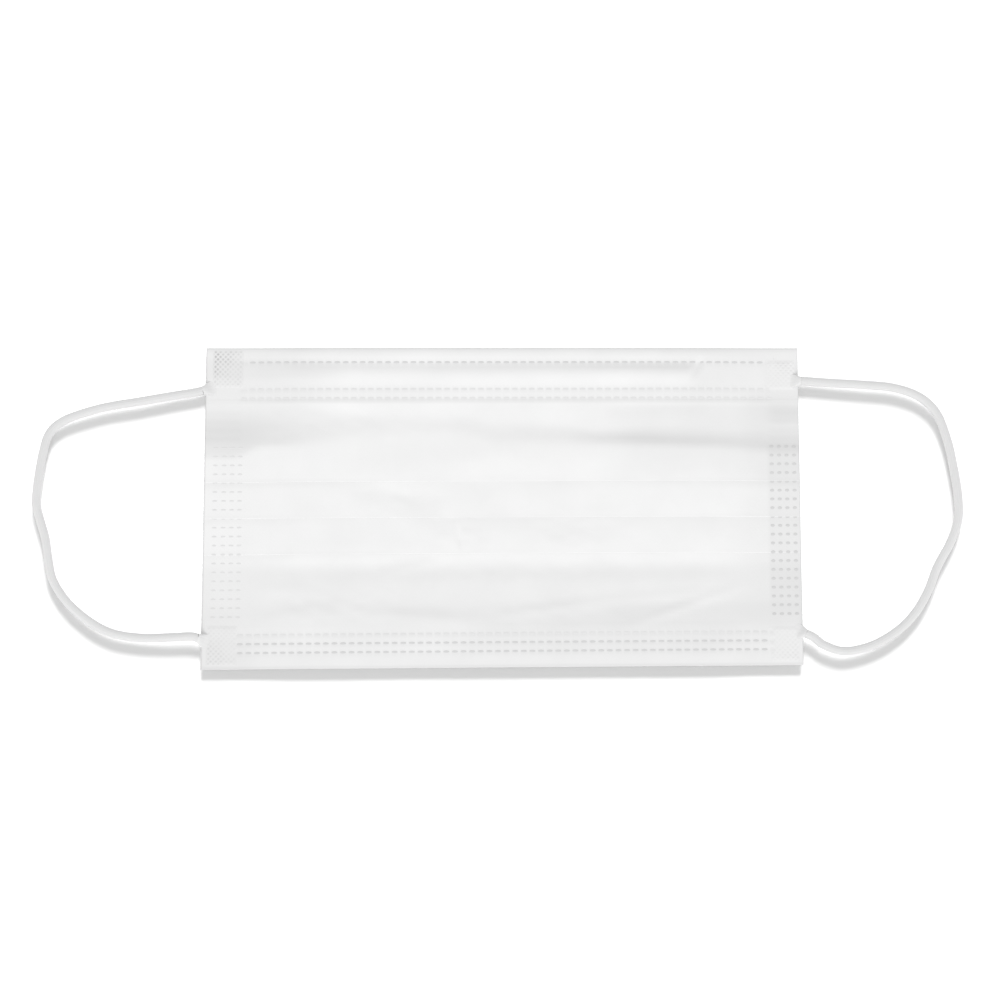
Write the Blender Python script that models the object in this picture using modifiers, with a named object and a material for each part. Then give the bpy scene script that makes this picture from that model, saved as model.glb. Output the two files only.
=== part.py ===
"""A surgical face mask with three pleats, lying flat with its outer face up.

Metres, +Z up. X runs from ear to ear, +Y is the edge with the nose wire, and the mask rests on z = 0.
A distance "down" is measured on the flat mask from its top edge towards its bottom edge.
"""

import math

import bmesh
import bpy
import numpy as np
from mathutils import Vector
from mathutils.geometry import interpolate_bezier

MM = 0.001

# The body: one sheet of nonwoven cloth, hemmed and pleated
MASK_WIDTH = 175 * MM
MASK_HEIGHT = 95 * MM
BOTTOM_SLANT = 1.4 * MM
SHEET = 1.0 * MM
PRESSED_GAP = 0.2 * MM
LOOSE_GAP = 0.45 * MM

# Hems, side seams and the run over which the body grows from pressed to loose
TOP_HEM = 15.6 * MM
BOTTOM_HEM = 10.6 * MM
SEAM_WIDTH = 12 * MM
LOFT_RUN = 22 * MM

# Pleats: each folds down over the next, and the next one starts a step lower than its fold
PLEATS = 3
FIRST_FOLD = 40.1 * MM
PLEAT_PITCH = 10.7 * MM
PLEAT_STEP = 2.2 * MM
FOLD_SPRING = 0.5 * MM

# How far the loose cloth sags between hem and pleats, and climbs from the pleats to the bottom hem
UPPER_SAG = 0.6 * MM
LOWER_CLIMB = 1.9 * MM

# Nose wire in the top hem
WIRE_LENGTH = 106 * MM
WIRE_WIDTH = 3 * MM
WIRE_THICKNESS = 0.6 * MM
WIRE_DOWN = 7.8 * MM
WIRE_SHIFT = 2.8 * MM
CHANNEL_OVERRUN = 4 * MM
CHANNEL_RUN = 8 * MM

# Ear loops of round elastic, pressed flat where they are welded on
CLEARANCE = 0.3 * MM
ELASTIC = 2.6 * MM
LOOP_END_LENGTH = 8 * MM
LOOP_END_WIDTH = 3.4 * MM
LOOP_END_THICKNESS = 0.7 * MM
LOOP_END_PROUD = 0.5 * MM
LOOP_POINT_SPACING = 2.3 * ELASTIC
LOOP_SETTLE = 18 * MM

# Faceting
TURN_STEPS = 5
MIDDLE_STEPS = 10

# Upper face between the hem and the first pleat: (share of the way down, share of UPPER_SAG)
UPPER_ROWS = (
    (0.17, 0.45),
    (0.42, 1.00),
    (0.62, 0.85),
    (0.80, 0.25),
    (0.90, 0.00),
)

# Lower face between the last pleat and the hem: (share of the way down, share of LOWER_CLIMB)
LOWER_ROWS = (
    (0.08, 0.44),
    (0.15, 0.44),
    (0.25, 0.52),
    (0.37, 0.62),
    (0.50, 0.62),
    (0.64, 0.64),
    (0.80, 0.72),
    (0.92, 0.80),
)

# Corners where the elastic is welded: (name, side, down as a share of the height, turn of the end in degrees)
LOOP_ENDS = (
    ("top_left", -1, 0.134, 20),
    ("top_right", 1, 0.106, -4),
    ("bottom_left", -1, 0.905, -24),
    ("bottom_right", 1, 0.902, -20),
)

# Each loop's way round from its upper end to its lower one, in millimetres on the floor
LOOP_ROUTES_MM = {
    "left": (
        (-97, 33.5), (-106.5, 31.8), (-115.5, 30.3), (-122.5, 28.5), (-129.2, 25.9), (-133.2, 22.2),
        (-134.9, 16.5), (-136.1, 8.5), (-136.5, 1.5), (-135.3, -3.5), (-133.6, -9), (-132.5, -15.5),
        (-131, -21.5), (-126.8, -27.8), (-120.5, -33.3), (-113.5, -37), (-105, -38.4), (-96.5, -38.3),
    ),
    "right": (
        (97, 37.4), (106.5, 36.8), (115.5, 35.9), (123, 33.2), (128, 28.3), (130.9, 20.5), (132.5, 12.5),
        (133.6, 4.5), (133.6, -3), (131.2, -10), (127, -17.6), (124.2, -24.5), (120.3, -31), (115, -36.3),
        (107.5, -40.4), (99.5, -42.1), (94.5, -41.6),
    ),
}


def clear_scene():
    for obj in list(bpy.data.objects):
        bpy.data.objects.remove(obj)


def smooth_step(share):
    share = min(max(share, 0.0), 1.0)
    return share * share * (3 - 2 * share)


def material(name, colour, roughness, metallic=0.0):
    made = bpy.data.materials.new(name)
    made.use_nodes = True
    shader = made.node_tree.nodes["Principled BSDF"]
    shader.inputs["Base Color"].default_value = (*colour, 1)
    shader.inputs["Roughness"].default_value = roughness
    shader.inputs["Metallic"].default_value = metallic
    return made


def add_object(name, data, finish):
    obj = bpy.data.objects.new(name, data)
    obj.data.materials.append(finish)
    bpy.data.collections["surgical_face_mask"].objects.link(obj)
    return obj


def loft_at(x):
    """0 in the pressed side seams, 1 where the body is loose."""
    return smooth_step((MASK_WIDTH / 2 - abs(x) - SEAM_WIDTH) / LOFT_RUN)


def channel_at(x):
    """1 over the nose wire, 0 where the hem is flat beyond its ends."""
    beyond = abs(x - WIRE_SHIFT) - WIRE_LENGTH / 2 - CHANNEL_OVERRUN
    return 1 - smooth_step(beyond / CHANNEL_RUN)


def layer_height(layer, gap):
    """Height of the middle of the sheet, counting layers up from the floor."""
    return SHEET / 2 + layer * (SHEET + gap)


def turn(tip, way, high, low):
    """A fold seen from the side, from its high layer round to its low one: way is 1 where it points down the mask."""
    radius = (high - low) / 2
    centre = tip - way * (radius + SHEET / 2)
    angles = [math.pi * (0.5 - step / TURN_STEPS) for step in range(TURN_STEPS + 1)]
    return [(centre + way * radius * math.cos(a), (high + low) / 2 + radius * math.sin(a)) for a in angles]


def hem_front(gap, channel):
    """The front over the top hem, raised over the wire."""
    flat = layer_height(1, gap)
    over_wire = layer_height(0, gap) + SHEET + WIRE_THICKNESS + 2 * CLEARANCE
    raised = flat + channel * (over_wire - flat)
    half = WIRE_WIDTH / 2 + CLEARANCE
    rise = SHEET
    return [
        (WIRE_DOWN - half - 2.4 * rise, flat),
        (WIRE_DOWN - half, raised),
        (WIRE_DOWN + half, raised),
        (WIRE_DOWN + half + 1.6 * rise, flat),
        (TOP_HEM, flat),
    ]


def sheet_section(x):
    """The folded sheet at one place across the mask, as (down, height) along the middle of its wall."""
    loft = loft_at(x)
    gap = PRESSED_GAP + loft * (LOOSE_GAP - PRESSED_GAP)
    floor, middle, top = (layer_height(layer, gap) for layer in range(3))
    spring = loft * FOLD_SPRING
    outer_radius = SHEET + gap / 2

    # Back of the top hem, over the top edge and across the hem's front
    top_edge = turn(0, -1, middle, floor)[::-1]
    path = [(TOP_HEM, floor), (TOP_HEM / 2, floor), *top_edge, *hem_front(gap, channel_at(x))]

    # Upper face, from the hem to where the first pleat's inner fold lifts it
    inner_fold = FIRST_FOLD - PLEAT_PITCH
    for share, sag in UPPER_ROWS:
        path.append((TOP_HEM + share * (inner_fold - TOP_HEM), middle - loft * sag * UPPER_SAG))
    path.append((inner_fold + 0.2 * outer_radius, middle + 0.7 * (top - middle)))
    path.append((inner_fold + outer_radius, top))
    path.append(((inner_fold + FIRST_FOLD) / 2, top))

    for number in range(PLEATS):
        fold = FIRST_FOLD + number * PLEAT_PITCH
        next_start = fold + PLEAT_STEP
        path += turn(fold, 1, top + spring, middle + spring)
        path.append(((inner_fold + fold) / 2, middle + spring / 2))
        path += turn(inner_fold, -1, middle, floor)
        slope_middle = fold + PLEAT_STEP / 2
        path.append((slope_middle - (middle - floor), floor))
        if number < PLEATS - 1:
            path.append((slope_middle + (middle - floor), top))
            path.append((next_start + 0.55 * (PLEAT_PITCH - PLEAT_STEP), top + 0.4 * spring))
        inner_fold = next_start

    # Lower face and the bottom hem, round the bottom edge to the back
    last_fold = FIRST_FOLD + (PLEATS - 1) * PLEAT_PITCH
    hem_edge = MASK_HEIGHT - BOTTOM_HEM
    for share, climb in LOWER_ROWS:
        path.append((last_fold + share * (hem_edge - last_fold), floor + loft * climb * LOWER_CLIMB))
    path += [(hem_edge - SHEET / 2, middle), (hem_edge + BOTTOM_HEM / 2, middle)]
    path += turn(MASK_HEIGHT, 1, middle, floor)
    path += [(hem_edge + BOTTOM_HEM / 2, floor), (hem_edge, floor)]
    return path


def place(x, down):
    """Y of a point so far down the mask: the lower edge slants a little, and the whole is centred on Y."""
    height_here = MASK_HEIGHT - BOTTOM_SLANT * x / MASK_WIDTH
    return MASK_HEIGHT / 2 + BOTTOM_SLANT / 4 - down * height_here / MASK_HEIGHT


def stations():
    """Places across the mask: close together at the seams and where the cloth lifts, even in the middle."""
    half = MASK_WIDTH / 2
    side = [half - share * SEAM_WIDTH for share in (0, 0.5, 1)]
    side += [half - SEAM_WIDTH - share * LOFT_RUN for share in (0.25, 0.5, 0.75)]
    inner = half - SEAM_WIDTH - LOFT_RUN
    middle = [inner - 2 * inner * step / MIDDLE_STEPS for step in range(MIDDLE_STEPS + 1)]
    return [-x for x in side] + middle[::-1] + side[::-1]


def make_panel():
    mesh = bpy.data.meshes.new("pleated_panel")
    bm = bmesh.new()
    columns = [[bm.verts.new((x, place(x, down), z)) for down, z in sheet_section(x)] for x in stations()]
    for left, right in zip(columns, columns[1:]):
        for row in range(len(left) - 1):
            bm.faces.new((left[row], left[row + 1], right[row + 1], right[row]))
    bm.to_mesh(mesh)
    bm.free()
    mesh.shade_smooth()
    panel = add_object("pleated_panel", mesh, material("white_nonwoven", (0.86, 0.86, 0.86), 0.9))
    wall = panel.modifiers.new("wall", "SOLIDIFY")
    wall.thickness = SHEET
    wall.offset = 0
    wall.use_even_offset = True
    print("panel section points:", len(columns[0]), "stations:", len(columns))


def flat_bar(name, length, width, thickness, edge, finish):
    mesh = bpy.data.meshes.new(name)
    bm = bmesh.new()
    bmesh.ops.create_cube(bm, size=1)
    bmesh.ops.scale(bm, vec=(length, width, thickness), verts=bm.verts)
    bm.to_mesh(mesh)
    bm.free()
    bar = add_object(name, mesh, finish)
    rounding = bar.modifiers.new("rounded_edges", "BEVEL")
    rounding.width = edge
    rounding.segments = 2
    return bar


def make_nose_wire():
    finish = material("wire_metal", (0.75, 0.76, 0.77), 0.35, 1.0)
    wire = flat_bar("nose_wire", WIRE_LENGTH, WIRE_WIDTH, WIRE_THICKNESS, WIRE_THICKNESS / 4, finish)
    height = SHEET + CLEARANCE + WIRE_THICKNESS / 2
    wire.location = (WIRE_SHIFT, place(WIRE_SHIFT, WIRE_DOWN), height)


def loop_exit(side, down_share, turned):
    """Where the outer end of a pressed end lies just past the side edge, and the way that the cord leaves it."""
    x = side * (MASK_WIDTH / 2 + LOOP_END_PROUD)
    height = layer_height(1, PRESSED_GAP) + SHEET / 2 + CLEARANCE + LOOP_END_THICKNESS / 2
    outwards = Vector((math.cos(math.radians(turned)), math.sin(math.radians(turned)), 0)) * side
    return Vector((x, place(x, down_share * MASK_HEIGHT), height)), outwards


def make_loop_ends(finish):
    for name, side, down_share, turned in LOOP_ENDS:
        outer, outwards = loop_exit(side, down_share, turned)
        end = flat_bar(
            f"loop_end_{name}",
            LOOP_END_LENGTH,
            LOOP_END_WIDTH,
            LOOP_END_THICKNESS,
            LOOP_END_THICKNESS / 4,
            finish,
        )
        end.location = outer - outwards * LOOP_END_LENGTH / 2
        end.rotation_euler.z = math.radians(turned)


def smooth_route(points, straight, spacing):
    """Even points along a smooth curve through the given ones, after a straight stretch at each end."""
    ends = [points[0] * 2 - points[1], *points, points[-1] * 2 - points[-2]]
    dense = []
    for before, start, stop, after in zip(ends, ends[1:], ends[2:], ends[3:]):
        handles = start + (stop - before) / 6, stop - (after - start) / 6
        dense += interpolate_bezier(start, *handles, stop, 24)[:-1]
    dense = np.array([*dense, points[-1]])
    along = np.concatenate([[0], np.cumsum(np.linalg.norm(np.diff(dense, axis=0), axis=1))])
    even = np.linspace(straight, along[-1] - straight, round(along[-1] / spacing))
    even = np.array([0, *even, along[-1]])
    return np.stack([np.interp(even, along, dense[:, axis]) for axis in range(3)], axis=1), along[-1]


def make_ear_loop(side_name, finish):
    """One loop: straight out of its upper end, down onto the floor, round and back up into its lower end."""
    ends = {name: loop_exit(side, down, turned) for name, side, down, turned in LOOP_ENDS}
    (start, start_way), (stop, stop_way) = ends[f"top_{side_name}"], ends[f"bottom_{side_name}"]
    start = start + start_way * CLEARANCE
    stop = stop + stop_way * CLEARANCE
    lying = ELASTIC / 2 + 0.05 * MM
    first, last = start + start_way * ELASTIC, stop + stop_way * ELASTIC
    route = [start, first]
    for x_mm, y_mm in LOOP_ROUTES_MM[side_name]:
        point = Vector((x_mm * MM, y_mm * MM, lying))
        near = min((point - first).length, (point - last).length)
        point.z += (start.z - lying) * (1 - smooth_step(near / LOOP_SETTLE))
        route.append(point)
    route += [last, stop]
    points, length = smooth_route(route, ELASTIC, LOOP_POINT_SPACING)

    curve = bpy.data.curves.new(f"ear_loop_{side_name}", "CURVE")
    curve.dimensions = "3D"
    curve.bevel_depth = ELASTIC / 2
    curve.bevel_resolution = 2
    curve.use_fill_caps = True
    spline = curve.splines.new("POLY")
    spline.points.add(len(points) - 1)
    for spline_point, point in zip(spline.points, points):
        spline_point.co = (*point, 1)
    add_object(f"ear_loop_{side_name}", curve, finish)
    print(f"ear_loop_{side_name}: {length / MM:.1f} mm, {len(points)} points, lowest {min(points[:, 2]) / MM:.2f} mm")


def main():
    clear_scene()
    collection = bpy.data.collections.new("surgical_face_mask")
    bpy.context.scene.collection.children.link(collection)
    make_panel()
    make_nose_wire()
    make_loop_ends(material("pressed_elastic", (0.8, 0.8, 0.8), 0.6))
    knitted = material("knitted_elastic", (0.84, 0.84, 0.84), 0.8)
    for side_name in LOOP_ROUTES_MM:
        make_ear_loop(side_name, knitted)


main()
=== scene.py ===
# %% [markdown]
# A disposable surgical mask lies flat on a white table, seen from almost straight above. It is one sheet of
# nonwoven cloth, folded into hems and three pleats, with a wire in its top hem and two elastic ear loops.
# The imported model is loaded first, because every piece of this scene sits where one of its solids is. Its box
# is kept.

# %% Load the model
import math

import bpy
import numpy as np
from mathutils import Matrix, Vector
from mathutils.bvhtree import BVHTree


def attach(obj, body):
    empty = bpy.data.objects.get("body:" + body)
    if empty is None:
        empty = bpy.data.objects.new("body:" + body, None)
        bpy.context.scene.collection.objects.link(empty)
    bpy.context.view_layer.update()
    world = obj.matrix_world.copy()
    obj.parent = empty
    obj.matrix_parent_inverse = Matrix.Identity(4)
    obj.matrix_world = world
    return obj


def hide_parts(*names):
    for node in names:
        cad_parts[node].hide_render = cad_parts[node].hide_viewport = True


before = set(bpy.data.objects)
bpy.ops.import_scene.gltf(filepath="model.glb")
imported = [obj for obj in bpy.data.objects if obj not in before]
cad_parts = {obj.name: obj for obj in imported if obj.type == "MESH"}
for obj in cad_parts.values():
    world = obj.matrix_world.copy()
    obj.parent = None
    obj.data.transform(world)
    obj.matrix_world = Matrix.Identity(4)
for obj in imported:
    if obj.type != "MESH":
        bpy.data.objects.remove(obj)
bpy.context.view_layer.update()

MM = 0.001

# %% [markdown]
# The camera comes next, since it decides how much detail each piece needs. A product photographer hangs it
# over the table, a little towards the lower edge, with a long lens so that the outline stays square. It could
# be turned by a constraint that aims it, but ten degrees about X does the same with nothing left behind.

# %% Camera
CAMERA_LEAN = 10
CAMERA_AWAY = 839 * MM
CAMERA_LENS = 103.77
AIM = Vector((-2.06 * MM, 4.02 * MM, 0))


def linked(name, data):
    """An object with that data, in the scene's own collection."""
    obj = bpy.data.objects.new(name, data)
    bpy.context.scene.collection.objects.link(obj)
    return obj


camera_data = bpy.data.cameras.new("camera")
camera_data.sensor_fit = "HORIZONTAL"
camera_data.sensor_width = 36
camera_data.lens = CAMERA_LENS
camera_data.clip_start = 0.01
camera = linked("camera", camera_data)
lean = math.radians(CAMERA_LEAN)
camera.location = AIM + Vector((0, -math.sin(lean), math.cos(lean))) * CAMERA_AWAY
camera.rotation_euler = (lean, 0, 0)
bpy.context.scene.camera = camera
print("camera at", [round(c, 3) for c in camera.location])

# %% [markdown]
# White on white is read from shadow alone, and here there are two kinds. The cloth is modelled by a broad
# light from the lower edge, while the shadow on the table falls towards that edge too, as a retoucher draws
# it. One lamp can't do both, so sun lamps share the work by light linking. Two reach only the table, and one
# of them stands high and lifts the shade evenly, as nothing but the table blocks it. One grazes the cloth,
# and a high soft one is kept for the elastic, which the grazing lamp would burn out. The room's even light
# fills the rest.

# %% Sun lamps
# name: (azimuth from +X, height over the table, strength, softness), with the angles in degrees
LIGHTS = {
    "table_light": (85, 32, 13.0, 24),
    "table_fill": (-90, 75, 3.75, 50),
    "cloth_light": (-89, 27, 2.35, 35),
    "cord_light": (-90, 58, 1.18, 50),
}


def sun(name, azimuth, height, strength, softness):
    """A sun lamp that shines from that azimuth and height."""
    data = bpy.data.lights.new(name, "SUN")
    data.energy = strength
    data.angle = math.radians(softness)
    lamp = linked(name, data)
    lamp.rotation_euler = (0, math.radians(90 - height), math.radians(azimuth))
    return lamp


table_light, table_fill, cloth_light, cord_light = [sun(name, *values) for name, values in LIGHTS.items()]
print("sun strengths:", {name: values[2] for name, values in LIGHTS.items()})

# %% Room and table
ROOM_STRENGTH = 0.75
TABLE_HALF = 3


def shines_on(lamp, objects, state="INCLUDE"):
    """Adds objects to those that the lamp reaches, or with EXCLUDE to those that it misses."""
    if lamp.light_linking.receiver_collection is None:
        lamp.light_linking.receiver_collection = bpy.data.collections.new(lamp.name + "_receivers")
    receivers = lamp.light_linking.receiver_collection
    for obj in objects:
        receivers.objects.link(obj)
    for member in receivers.collection_objects:
        member.light_linking.link_state = state


world = bpy.data.worlds.new("room")
world.use_nodes = True
background = world.node_tree.nodes["Background"]
background.inputs["Color"].default_value = (1, 1, 1, 1)
background.inputs["Strength"].default_value = ROOM_STRENGTH
bpy.context.scene.world = world
bpy.context.scene.view_settings.view_transform = "Standard"

corners = [(x * TABLE_HALF, y * TABLE_HALF, 0) for x, y in ((-1, -1), (1, -1), (1, 1), (-1, 1))]
table_mesh = bpy.data.meshes.new("table_top")
table_mesh.from_pydata(corners, [], [(0, 1, 2, 3)])
table_top = linked("table_top", table_mesh)
for lamp, state in ((table_light, "INCLUDE"), (table_fill, "INCLUDE"), (cloth_light, "EXCLUDE")):
    shines_on(lamp, [table_top], state)
table_fill.light_linking.blocker_collection = bpy.data.collections.new("table_fill_blockers")
table_fill.light_linking.blocker_collection.objects.link(table_top)
print("room strength", ROOM_STRENGTH, "and a table", 2 * TABLE_HALF, "m wide")

# %% [markdown]
# Finishes are written as sums, the way a dyer would note a recipe. Shader nodes could be wired by hand, but a
# small class that wraps a socket lets Python's own signs add the Math nodes. Every other node comes from one
# method, which takes its type, its settings, and the values or links of its sockets.

# %% A recipe book for finishes
class Signal:
    """The output of a shader node, for use in expressions."""

    def __init__(self, finish, socket):
        self.finish, self.socket = finish, socket

    def math(self, operation, *values):
        return self.finish.node("ShaderNodeMath", {"operation": operation}, dict(enumerate(values)))

    def __add__(self, other): return self.math("ADD", self, other)
    def __radd__(self, other): return self.math("ADD", other, self)
    def __sub__(self, other): return self.math("SUBTRACT", self, other)
    def __rsub__(self, other): return self.math("SUBTRACT", other, self)
    def __mul__(self, other): return self.math("MULTIPLY", self, other)
    def __rmul__(self, other): return self.math("MULTIPLY", other, self)
    def __pow__(self, other): return self.math("POWER", self, other)
    def wave(self): return self.math("COSINE", self)
    def clamped(self): return self.finish.node("ShaderNodeClamp", {}, {"Value": self})


class Finish:
    """A material under construction."""

    def __init__(self, name):
        self.material = bpy.data.materials.new(name)
        self.material.use_nodes = True
        self.tree = self.material.node_tree
        self.shader = self.tree.nodes["Principled BSDF"]

    def node(self, kind, settings, sockets, output=0):
        made = self.tree.nodes.new(kind)
        for key, value in settings.items():
            setattr(made, key, value)
        for key, value in sockets.items():
            self.feed(made.inputs[key], value)
        return Signal(self, made.outputs[output])

    def feed(self, socket, value):
        if isinstance(value, Signal):
            self.tree.links.new(value.socket, socket)
        else:
            socket.default_value = value

    def shade(self, **values):
        for key, value in values.items():
            self.feed(self.shader.inputs[key.replace("_", " ")], value)

    def colour(self, value):
        """A colour from three numbers, or a grey from one. A signal stays as it is."""
        if isinstance(value, Signal):
            return value
        return (*value, 1) if isinstance(value, tuple) else (value, value, value, 1)

    def mix(self, share, first, second):
        sockets = {0: share, 6: self.colour(first), 7: self.colour(second)}
        return self.node("ShaderNodeMix", {"data_type": "RGBA"}, sockets, 2)

    def noise(self, vector, scale, detail=3, rough=0.5):
        sockets = {"Vector": vector, "Scale": scale, "Detail": detail, "Roughness": rough}
        return self.node("ShaderNodeTexNoise", {}, sockets)

    def parts(self, vector):
        first = self.node("ShaderNodeSeparateXYZ", {}, {0: vector})
        return [Signal(self, output) for output in first.socket.node.outputs]

    def stretched(self, vector, scale, turned=0):
        sockets = {"Vector": vector, "Scale": scale, "Rotation": (0, 0, math.radians(turned))}
        return self.node("ShaderNodeMapping", {}, sockets)

    def bump(self, height, depth, strength=1):
        sockets = {"Height": height, "Distance": depth, "Strength": strength}
        return self.node("ShaderNodeBump", {}, sockets)


print("recipe book ready")

# %% [markdown]
# The table is a matt grey board, lit so strongly that it burns out to white. Being grey, it takes little of
# its light from the room, so that its shade stays even right up to the cloth. A trace of grain lies on it.

# %% Table finish
board = Finish("matt_board")
place_on_board = board.node("ShaderNodeTexCoord", {}, {}, "Object")
board_grain = board.noise(place_on_board, 9)
board.shade(
    Base_Color=board.mix(board_grain, 0.345, 0.355),
    Roughness=0.9 + 0.05 * board_grain,
    Specular_IOR_Level=0.0,
)
table_mesh.materials.append(board.material)
print("table finished")

# %% [markdown]
# Each ear loop is a round knitted elastic, 2.6 mm thick, that leaves a pressed end at one corner, runs round
# in a lazy bow and comes back to the corner below. It is springy, so it hovers almost a millimetre over the
# table and sinks a little at its far bow. Its route is a list of points joined by a smooth curve that is cut
# into even steps. The tube is then built ring by ring, since a curve's own bevel could not carry the knit.

# %% The loops' routes
MASK_WIDTH = 175 * MM
MASK_HEIGHT = 95 * MM
BOTTOM_SLANT = 1.4 * MM
ELASTIC = 2.6 * MM
END_PROUD = 0.5 * MM
END_HEIGHTS = {"top": 2.05 * MM, "bottom": 2.75 * MM}
SETTLE = 18 * MM
HOVER = 0.95 * MM
LYING = ELASTIC / 2 + 0.05 * MM
BOW_SINKS, BOW_FROM = 0.15, 122
CLEARANCE = 0.3 * MM

# (name, side, down as a share of the height, turn of the end in degrees)
LOOP_ENDS = (
    ("top_left", -1, 0.134, 20),
    ("top_right", 1, 0.106, -4),
    ("bottom_left", -1, 0.905, -24),
    ("bottom_right", 1, 0.902, -20),
)
LOOP_ROUTES_MM = {
    "left": (
        (-97, 33.5), (-106.5, 31.8), (-115.5, 30.3), (-122.5, 28.5), (-129.2, 25.9), (-133.2, 22.2),
        (-134.9, 16.5), (-136.1, 8.5), (-136.5, 1.5), (-135.3, -3.5), (-133.6, -9), (-132.5, -15.5),
        (-131, -21.5), (-126.8, -27.8), (-120.5, -33.3), (-113.5, -37), (-105, -38.4), (-96.5, -38.3),
    ),
    "right": (
        (97, 37.4), (106.5, 36.8), (115.5, 35.9), (123, 33.2), (128, 28.3), (130.9, 20.5), (132.5, 12.5),
        (133.6, 4.5), (133.6, -3), (131.2, -10), (127, -17.6), (124.2, -24.5), (120.3, -31), (115, -36.3),
        (107.5, -40.6), (99.5, -42.3), (93.6, -40.6),
    ),
}


def place(x, down):
    """Y of a point so far down the mask: the lower edge slants a little."""
    height_here = MASK_HEIGHT - BOTTOM_SLANT * x / MASK_WIDTH
    return MASK_HEIGHT / 2 + BOTTOM_SLANT / 4 - down * height_here / MASK_HEIGHT


def smooth_step(share):
    share = np.clip(share, 0, 1)
    return share * share * (3 - 2 * share)


def loop_exit(name, side, down_share, turned):
    """Where the pressed end stops just past the side edge, and the way that the elastic leaves it."""
    x = side * (MASK_WIDTH / 2 + END_PROUD)
    outwards = np.array((math.cos(math.radians(turned)), math.sin(math.radians(turned)), 0)) * side
    return np.array((x, place(x, down_share * MASK_HEIGHT), END_HEIGHTS[name.split("_")[0]])), outwards


EXITS = {name: loop_exit(name, side, down, turned) for name, side, down, turned in LOOP_ENDS}
print("exits in mm:", {name: [round(c / MM, 1) for c in spot] for name, (spot, way) in EXITS.items()})

# %% Even points along a smooth curve
CURVE_STEPS = 24


def run_along(points):
    """How far along the path each point lies."""
    return np.concatenate([[0], np.cumsum(np.linalg.norm(np.diff(points, axis=0), axis=1))])


def even_points(points, spacing):
    """Catmull-Rom curve through the points, cut into even steps of about that spacing."""
    ends = np.array([2 * points[0] - points[1], *points, 2 * points[-1] - points[-2]])
    dense = []
    for before, start, stop, after in zip(ends, ends[1:], ends[2:], ends[3:]):
        for t in np.arange(CURVE_STEPS) / CURVE_STEPS:
            dense.append(
                0.5 * (2 * start + (stop - before) * t + (2 * before - 5 * start + 4 * stop - after) * t * t
                       + (3 * start - before - 3 * stop + after) * t ** 3)
            )
    dense = np.array([*dense, points[-1]])
    along = run_along(dense)
    even = np.linspace(0, along[-1], round(along[-1] / spacing) + 1)
    return np.stack([np.interp(even, along, dense[:, axis]) for axis in range(3)], axis=1), along[-1]


def bend_point(spot, way, x_mm, y_mm):
    """A point one thickness past the exit, between the way out and the way to the route's nearest point."""
    towards = np.array((x_mm * MM, y_mm * MM, spot[2])) - spot
    return spot + ELASTIC * (0.35 * way + 0.65 * towards / np.linalg.norm(towards))


def loop_route(side_name, spacing):
    start, start_way = EXITS[f"top_{side_name}"]
    stop, stop_way = EXITS[f"bottom_{side_name}"]
    start, stop = start + start_way * CLEARANCE, stop + stop_way * CLEARANCE
    first = bend_point(start, start_way, *LOOP_ROUTES_MM[side_name][0])
    last = bend_point(stop, stop_way, *LOOP_ROUTES_MM[side_name][-1])
    route = [start, first]
    for x_mm, y_mm in LOOP_ROUTES_MM[side_name]:
        hover = HOVER * (1 - BOW_SINKS * smooth_step((abs(x_mm) - BOW_FROM) / 12))
        seen_shift = hover * math.tan(math.radians(CAMERA_LEAN))
        point = np.array((x_mm * MM, y_mm * MM - seen_shift, LYING + hover))
        near, end = min((np.linalg.norm(point - spot), spot[2]) for spot in (first, last))
        point[2] += (end - point[2]) * (1 - smooth_step(near / SETTLE))
        route.append(point)
    return even_points(route + [last, stop], spacing)


for side_name in LOOP_ROUTES_MM:
    print(side_name, "loop is", round(loop_route(side_name, 1 * MM)[1] / MM, 1), "mm long")

# %% [markdown]
# The elastic's skin is a warp knit: twelve fine wales run along it and lean from side to side with each
# course, which gives small arrowheads. The cord was a little flattened in its box, here more and there less,
# so the section is an ellipse that changes slowly along the way. Wales and courses are cut into the rings
# themselves, and the UV map runs round and along the cord so that the finish can follow them.

# %% Knitted tube
RING_SPACING = 0.17 * MM
SIDES = 48
WALES = 12
COURSE = 0.85 * MM
RELIEF = 0.05 * MM
FLATNESS = 0.10


def mesh_object(name, vertices, faces):
    mesh = bpy.data.meshes.new(name)
    mesh.from_pydata([tuple(v) for v in vertices], [], faces)
    mesh.shade_smooth()
    return linked(name, mesh)


def frames_along(points):
    """Two directions across the path at each point, without sudden turns."""
    ways = np.gradient(points, axis=0)
    ways /= np.linalg.norm(ways, axis=1)[:, None]
    across = np.cross(ways, (0, 0, 1))
    across /= np.linalg.norm(across, axis=1)[:, None]
    return across, np.cross(across, ways)


def ring_faces(rings, sides):
    faces = []
    for ring in range(rings - 1):
        a, b = ring * sides, (ring + 1) * sides
        faces += [(a + s, a + (s + 1) % sides, b + (s + 1) % sides, b + s) for s in range(sides)]
    faces.append(tuple(range(sides))[::-1])
    faces.append(tuple((rings - 1) * sides + s for s in range(sides)))
    return faces


def tube(name, points, radii, relief):
    """Rings of radii(along) = (across, upwards) with relief(angle, along) on top."""
    across, upwards = frames_along(points)
    along = run_along(points)
    angles = np.arange(SIDES) * 2 * math.pi / SIDES
    wide, high = radii(along)
    lift = 1 + relief(angles[None, :], along[:, None]) / (ELASTIC / 2)
    ring_x = wide[:, None] * np.cos(angles) * lift
    ring_z = high[:, None] * np.sin(angles) * lift
    vertices = points[:, None, :] + across[:, None, :] * ring_x[..., None]
    vertices = vertices + upwards[:, None, :] * ring_z[..., None]
    obj = mesh_object(name, vertices.reshape(-1, 3), ring_faces(len(points), SIDES))
    for cap in obj.data.polygons[-2:]:
        cap.use_smooth = False
    return obj, along


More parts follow.
